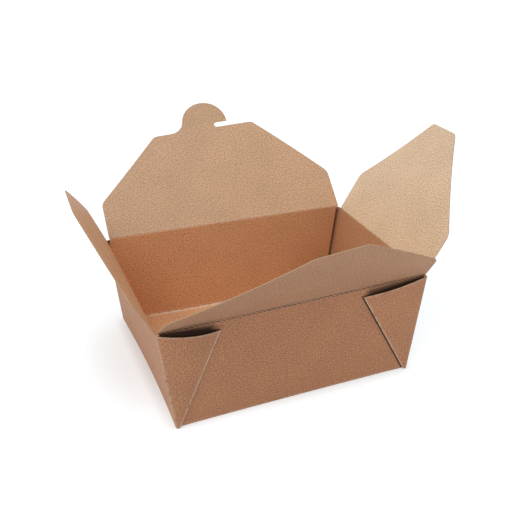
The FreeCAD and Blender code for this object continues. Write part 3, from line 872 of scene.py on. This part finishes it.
class ShaderTree:
    """The node tree of a material or world, with one method that adds any node."""

    def __init__(self, owner):
        self.owner = owner
        self.tree = owner.node_tree
        self.tree.nodes.clear()

    def node(self, kind, settings=None, inputs=None, output=0):
        """Adds a node with its settings, then the values or links of its sockets, and returns one output."""
        node = self.tree.nodes.new("ShaderNode" + kind)
        for name, value in (settings or {}).items():
            setattr(node, name, value)
        for name, value in (inputs or {}).items():
            if isinstance(value, Value):
                self.tree.links.new(value.socket, node.inputs[name])
            else:
                node.inputs[name].default_value = value
        return Value(self, node.outputs[output]) if node.outputs else None

    def mix(self, first, second, share):
        """Colour between two, each a link or three shares of red, green and blue."""
        first, second = (shade if isinstance(shade, Value) else (*shade, 1.0) for shade in (first, second))
        return self.node("Mix", {"data_type": "RGBA"}, {0: share, 6: first, 7: second}, 2)

    def scale(self, shade, factor):
        """Colour times a value."""
        return self.node("VectorMath", {"operation": "SCALE"}, {0: shade, "Scale": factor})

    def between(self, value, low, high):
        """How far a value has come from low to high, smoothly, 0 to 1."""
        return self.node("MapRange", {"interpolation_type": "SMOOTHSTEP"}, {0: value, 1: low, 2: high})

    def noise(self, vector, scale, detail, roughness):
        """Noise of one scale, about 0.5."""
        return self.node("TexNoise", {"noise_dimensions": "3D"},
                         {"Vector": vector, "Scale": scale, "Detail": detail, "Roughness": roughness})

    def parts(self, vector):
        """The first two parts of a vector."""
        return [self.node("SeparateXYZ", None, {0: vector}, place) for place in range(2)]

    def mark(self, title):
        """One of the marks on the mesh's points."""
        return self.node("Attribute", {"attribute_name": title}, output=2)

    def seen(self):
        """1 on rays from the camera and on mirrored ones, 0 on the rest."""
        return self.node("LightPath").most(self.node("LightPath", output="Is Glossy Ray"))

    def surface(self, finish, inputs):
        """Gives the material its card surface and returns the material."""
        inputs = {"Roughness": finish[1], "Specular IOR Level": finish[2], **inputs}
        self.node("OutputMaterial", None, {"Surface": self.node("BsdfPrincipled", None, inputs)})
        return self.owner


def fibres(shader, sheet, turn, along, across, low, high):
    """Mask of short fibres that lie one way: noise stretched along them, cut off above a level."""
    stretched = shader.node("Mapping", {"vector_type": "TEXTURE"}, {
        "Vector": sheet, "Location": (0.013 * turn, 0.007 * turn, 0.0),
        "Rotation": (0.0, 0.0, math.radians(turn)), "Scale": (along * MM, across * MM, 1.0)})
    return shader.between(shader.noise(stretched, 1.0, 1.0, 0.5), low, high)


def pressed_score(across, along, uneven):
    """Mask of the front crease's pressed score: slanting strokes in a narrow band, uneven in strength.

    Each stroke is a wave of the distance along the crease plus a share of the distance across it.
    """
    pitch, half, slant = 3.0 * MM, 1.5 * MM, -1.8
    ground, even = 0.15, 0.75
    shader = across.tree
    turns = (along + across * slant) * (2 * math.pi / pitch)
    strokes = shader.between(turns.sine(), -0.1, 0.6)
    band = 1.0 - shader.between(abs(across), 0.6 * half, half)
    return (ground + (1 - ground) * strokes) * band * (even + (1 - even) * uneven)


def web_shadow(tray, across, along):
    """Mask of the dark slit beside a right web's diagonal fold, from the distance to the fold's line."""
    dark_to, gone_at = 0.3 * MM, 1.3 * MM
    foot = end_face(tray, 0.0) - tray.web_start
    tip_at = tray.wall_height - tray.web_drop
    lean = (foot - end_face(tray, tip_at) + tray.web_reach_right) / tip_at
    shader = across.tree
    height = abs(across) - tray.base_width / 2
    beside = (foot - height * lean - along) / math.hypot(1.0, lean)
    near = 1.0 - shader.between(beside, dark_to, gone_at)
    below = 1.0 - shader.between(height, tip_at - 0.5 * MM, tip_at + 1.0 * MM)
    end = tray.base_length / 2
    on_wall = 1.0 - shader.between(along, end, end + MM)
    return near * below * on_wall * shader.between(along, 0.0, 30 * MM)


def kraft(name, shades, box, finish):
    """Uncoated kraft: cloudy brown with grain, dark and light fibres, paler folds and darker pockets.

    The shades are those of the walls, the lid's flaps and the base. The outside has the pressed score too.
    """
    card = box.card
    shader = new_material(name)
    sheet = shader.node("UVMap", {"uv_map": UV_NAME})
    wear, shade_outside, shade_inside, lid, floor = (shader.mark(title) for title in MARKS)
    cloud, grain, speck = (shader.noise(sheet, *kind) for kind in (CLOUD, GRAIN, SPECK))
    tone = 1.0 + (cloud - 0.5) * CLOUD_TONE + (grain - 0.5) * GRAIN_TONE + (speck - 0.5) * SPECK_TONE
    dark, light = (fibres(shader, sheet, *first) + fibres(shader, sheet, *second)
                   for first, second in (DARK_FIBRES, LIGHT_FIBRES))
    # Painted light: lit copies of the card's colour on the flaps and on the base, by the lid and floor marks.
    paper = shader.mix(shader.mix(shades[0], shades[1], lid), shades[2], floor)
    paper = shader.scale(paper, tone)
    paper = shader.mix(paper, card.dark_fibre, dark.least(1.0) * FIBRE_STRENGTH)
    paper = shader.mix(paper, card.light_fibre, light.least(1.0) * FIBRE_STRENGTH)
    # Paler rubbed card at worn folds and edges; at the left web's diagonal fold partly a painted highlight.
    rubbed = wear * shader.between(shader.noise(sheet, *RUBBING), *RUBBED_LEVELS) * finish[0]
    paper = shader.mix(paper, card.worn, rubbed.least(1.0))
    # Painted shade from the marks, and on the outside a painted shadow in the slits beside the right webs'
    # folds.
    shade = shade_inside
    if finish is OUTSIDE_FINISH:
        along, across = shader.parts(sheet)
        front_crease = box.tray.base_width / 2 + HINGES["front_crease"].z
        score = pressed_score(across + front_crease, along, shader.between(cloud, *SCORE_LEVELS))
        paper = shader.mix(paper, card.score, score)
        shade = shade_outside.most(web_shadow(box.tray, across, along) * (1.0 - lid))
    paper = shader.mix(paper, card.pocket, shade * PAINTED_SHADE_STRENGTH)
    relief = grain * RELIEF[0] + speck * RELIEF[1] + light * RELIEF[2] + dark * RELIEF[3]
    bump = {"Strength": RELIEF_STRENGTH, "Distance": RELIEF_DEPTH, "Height": relief}
    rough = finish[1] + (grain - 0.5) * GRAIN_ROUGHNESS
    return shader.surface(finish, {
        "Base Color": paper, "Roughness": rough, "Normal": shader.node("Bump", None, bump)})


def cut_card(name, card):
    """Cut edge of the card: paler, with fine layers, dark in the corner pockets."""
    shader = new_material(name)
    sheet = shader.node("UVMap", {"uv_map": UV_NAME})
    tone = EDGE_TONE + (shader.noise(sheet, *LAYERS) - 0.5) * LAYER_TONE
    paper = shader.mix(shader.scale(tuple(card.cut_edge), tone), card.pocket, shader.mark("shade_outside"))
    return shader.surface(EDGE_FINISH, {"Base Color": paper})


def card_materials(box, inside):
    """The card's outside, inside and cut edge materials, each made once."""
    card = box.card
    outer = (card.outside, card.flap_outside_painted_light, card.outside)
    # Painted light: the flaps' lit copies of the inside's colour, one for each kind of inside.
    lids = {"kraft_inside": card.flap_inside_painted_light, "kraft_warm_inside": card.left_flap_painted_light,
            "kraft_pale_inside": card.right_flap_painted_light}
    inner = (card.inside, lids[inside], card.floor_inside_painted_light)
    makers = {
        "kraft_outside": lambda name: kraft(name, outer, box, OUTSIDE_FINISH),
        inside: lambda name: kraft(name, inner, box, INSIDE_FINISH),
        "kraft_edge": lambda name: cut_card(name, card),
    }
    return [bpy.data.materials.get(name) or make(name) for name, make in makers.items()]


def place_flap(box, grids, body, inside="kraft_inside"):
    """Makes a flap's piece and lets it turn about its crease while its strip stays on the wall."""
    piece = card_piece(body + "_sheet", grids, box, inside)
    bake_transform(piece)
    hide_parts(body)


class TAKEAWAY_OT_tray(Operator):
    """Make the tray: base, four walls and the webs folded double at the corners"""

    bl_idname = "takeaway.tray"
    bl_label = "Tray"

    def execute(self, context):
        box = context.scene.takeaway_box
        grids = tray_grids(box.tray, box.left_flap.root)
        piece = card_piece("tray_sheet", grids, box)
        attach(piece, "tray")
        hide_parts("box_body")
        return {"FINISHED"}


class TAKEAWAY_OT_end_flaps(Operator):
    """Make the left and right flaps"""

    bl_idname = "takeaway.end_flaps"
    bl_label = "End flaps"

    def execute(self, context):
        box = context.scene.takeaway_box
        # The end flaps' insides take their own painted-light copies of the card's colour.
        for name, inside in (("left_flap", "kraft_warm_inside"), ("right_flap", "kraft_pale_inside")):
            surface = FlapSurface(box, name)
            place_flap(box, [flap_grid(surface, END_COLUMNS)], name, inside)
        return {"FINISHED"}


class TAKEAWAY_OT_front_flap(Operator):
    """Make the front flap"""

    bl_idname = "takeaway.front_flap"
    bl_label = "Front flap"

    def execute(self, context):
        box = context.scene.takeaway_box
        surface = FlapSurface(box, "front_flap")
        place_flap(box, [flap_grid(surface, FRONT_COLUMNS)], "front_flap")
        return {"FINISHED"}


class TAKEAWAY_OT_back_flap(Operator):
    """Make the back flap with its hook tab"""

    bl_idname = "takeaway.back_flap"
    bl_label = "Back flap"

    def execute(self, context):
        box = context.scene.takeaway_box
        finish = box.finish
        surface = FlapSurface(box, "back_flap")
        reach = box.back_flap.reach
        tops = (float(tab_left(finish, reach, np.array(reach))), finish.slot_start + finish.slot_width / 2)
        grids = [flap_grid(surface, BACK_COLUMNS, BACK_KNOTS, tops)] + tab_grids(surface)
        place_flap(box, grids, "back_flap")
        return {"FINISHED"}


def soft_light(name, place, power):
    """Square lamp that looks at the box."""
    lamp = bpy.data.lights.new(name, "AREA")
    lamp.shape = "SQUARE"
    lamp.size = LIGHT_SIDE
    lamp.energy = power
    light = bpy.data.objects.new(name, lamp)
    light.location = place
    light.rotation_euler = (Vector(LIGHT_TARGET) - Vector(place)).to_track_quat("-Z", "Y").to_euler()
    bpy.context.scene.collection.objects.link(light)


def floor_material(stage):
    """White floor: lit, and glowing where the camera sees it, less in the soft shade and under the box."""
    shader = new_material("floor_white")
    x, y = shader.parts(shader.node("TexCoord", output="Object"))
    right, back = ((axis - middle) / half for axis, middle, half in zip((x, y), SHADE_PLACE, SHADE_SIZE))
    away = (right ** 2 + back ** 2) ** 0.5
    beside, before = ((abs(axis) - half).most(0.0) for axis, half in zip((x, y), CONTACT_HALF))
    # Painted shadow: the glow drops in the soft ellipse left of the box and in a narrow band round its base.
    contact = 1.0 - shader.between((beside ** 2 + before ** 2) ** 0.5, *CONTACT_REACH)
    level = stage.shade_glow + shader.between(away, *SHADE_FADE) * (stage.floor_glow - stage.shade_glow)
    cool = shader.scale(FLOOR_TINT, level - contact * CONTACT_DARK)
    glow = shader.node("Emission", None, {"Color": cool, "Strength": shader.seen()})
    white = shader.node("BsdfDiffuse", None, {"Color": (*[FLOOR_WHITE] * 3, 1.0)})
    both = shader.node("AddShader", None, {0: white, 1: glow})
    shader.node("OutputMaterial", None, {"Surface": both})
    return shader.owner


def camera_matrix(stage):
    """The camera's place and turn: its axes from azimuth, elevation and roll, its place from its distance."""
    a, e, r = stage.azimuth, stage.elevation, stage.roll
    back = Vector((math.sin(a) * math.cos(e), -math.cos(a) * math.cos(e), math.sin(e)))
    level = (-back).cross(Vector((0, 0, 1))).normalized()
    above = level.cross(-back)
    right = level * math.cos(r) + above * math.sin(r)
    up = above * math.cos(r) - level * math.sin(r)
    place = -(right * stage.shift_right + up * stage.shift_up) + back * stage.distance
    turn = Matrix((right, up, back)).transposed()
    return Matrix.Translation(place) @ turn.to_4x4()


class TAKEAWAY_OT_stage(Operator):
    """Make the floor, the light and the camera"""

    bl_idname = "takeaway.stage"
    bl_label = "Stage"

    def execute(self, context):
        stage = context.scene.takeaway_box.stage
        scene = context.scene
        lens = bpy.data.cameras.new("camera")
        lens.sensor_width = 36.0
        lens.lens = stage.lens
        lens.clip_start = 0.01
        camera = bpy.data.objects.new("camera", lens)
        camera.matrix_world = camera_matrix(stage)
        scene.collection.objects.link(camera)
        scene.camera = camera

        h = FLOOR_HALF
        floor_mesh = bpy.data.meshes.new("floor")
        floor_mesh.from_pydata([(-h, -h, 0), (h, -h, 0), (h, h, 0), (-h, h, 0)], [], [(0, 1, 2, 3)])
        floor_mesh.materials.append(floor_material(stage))
        floor = bpy.data.objects.new("floor", floor_mesh)
        scene.collection.objects.link(floor)

        world = bpy.data.worlds.new("studio")
        world.use_nodes = True
        scene.world = world
        sky = ShaderTree(world)
        level = stage.sky + sky.seen() * (1.0 - stage.sky)
        even = sky.node("Background", None, {"Color": (1.0, 1.0, 1.0, 1.0), "Strength": level})
        sky.node("OutputWorld", None, {"Surface": even})

        soft_light("key light", KEY_PLACE, stage.key_power)
        soft_light("high light", HIGH_PLACE, stage.high_power)
        scene.view_settings.view_transform = "Standard"
        return {"FINISHED"}


class TakeawayBox(PropertyGroup):
    """All settings of the box, one group for each kind."""

    tray: group(TrayShape, "Tray", "Sizes of the tray")
    left_flap: group(LeftFlapShape, "Left flap", "Left flap")
    right_flap: group(RightFlapShape, "Right flap", "Right flap")
    front_flap: group(FrontFlapShape, "Front flap", "Front flap")
    back_flap: group(BackFlapShape, "Back flap", "Back flap")
    corners: group(CornerSet, "Corners", "How the corners have settled")
    finish: group(FlapFinish, "Flap details", "Roundings and the hook tab")
    card: group(CardFinish, "Card", "Colours of the card")
    stage: group(StageSet, "Stage", "Camera and light")


PIECES = (TAKEAWAY_OT_tray, TAKEAWAY_OT_end_flaps, TAKEAWAY_OT_front_flap, TAKEAWAY_OT_back_flap,
          TAKEAWAY_OT_stage)


class TAKEAWAY_PT_panel(Panel):
    """Lists the box's pieces and settings"""

    bl_idname = "TAKEAWAY_PT_panel"
    bl_label = "Takeaway box"
    bl_space_type = "VIEW_3D"
    bl_region_type = "UI"
    bl_category = "Takeaway box"

    def draw(self, context):
        layout = self.layout
        for piece in PIECES:
            layout.operator(piece.bl_idname)
        box = context.scene.takeaway_box
        for group in TakeawayBox.__annotations__:
            settings = getattr(box, group)
            column = layout.box().column()
            for field in settings.__annotations__:
                column.prop(settings, field)


CLASSES = (TrayShape, CornerSet, LeftFlapShape, RightFlapShape, FrontFlapShape, BackFlapShape, FlapFinish,
           CardFinish, StageSet, TakeawayBox) + PIECES + (TAKEAWAY_PT_panel,)


def register():
    for item in CLASSES:
        bpy.utils.register_class(item)
    bpy.types.Scene.takeaway_box = PointerProperty(type=TakeawayBox)


def unregister():
    del bpy.types.Scene.takeaway_box
    for item in reversed(CLASSES):
        bpy.utils.unregister_class(item)


def main():
    """Builds the whole scene with the panel's operators and notes both boxes."""
    register()
    for piece in PIECES:
        getattr(bpy.ops.takeaway, piece.bl_idname.split(".")[1])()


if __name__ == "__main__":
    main()
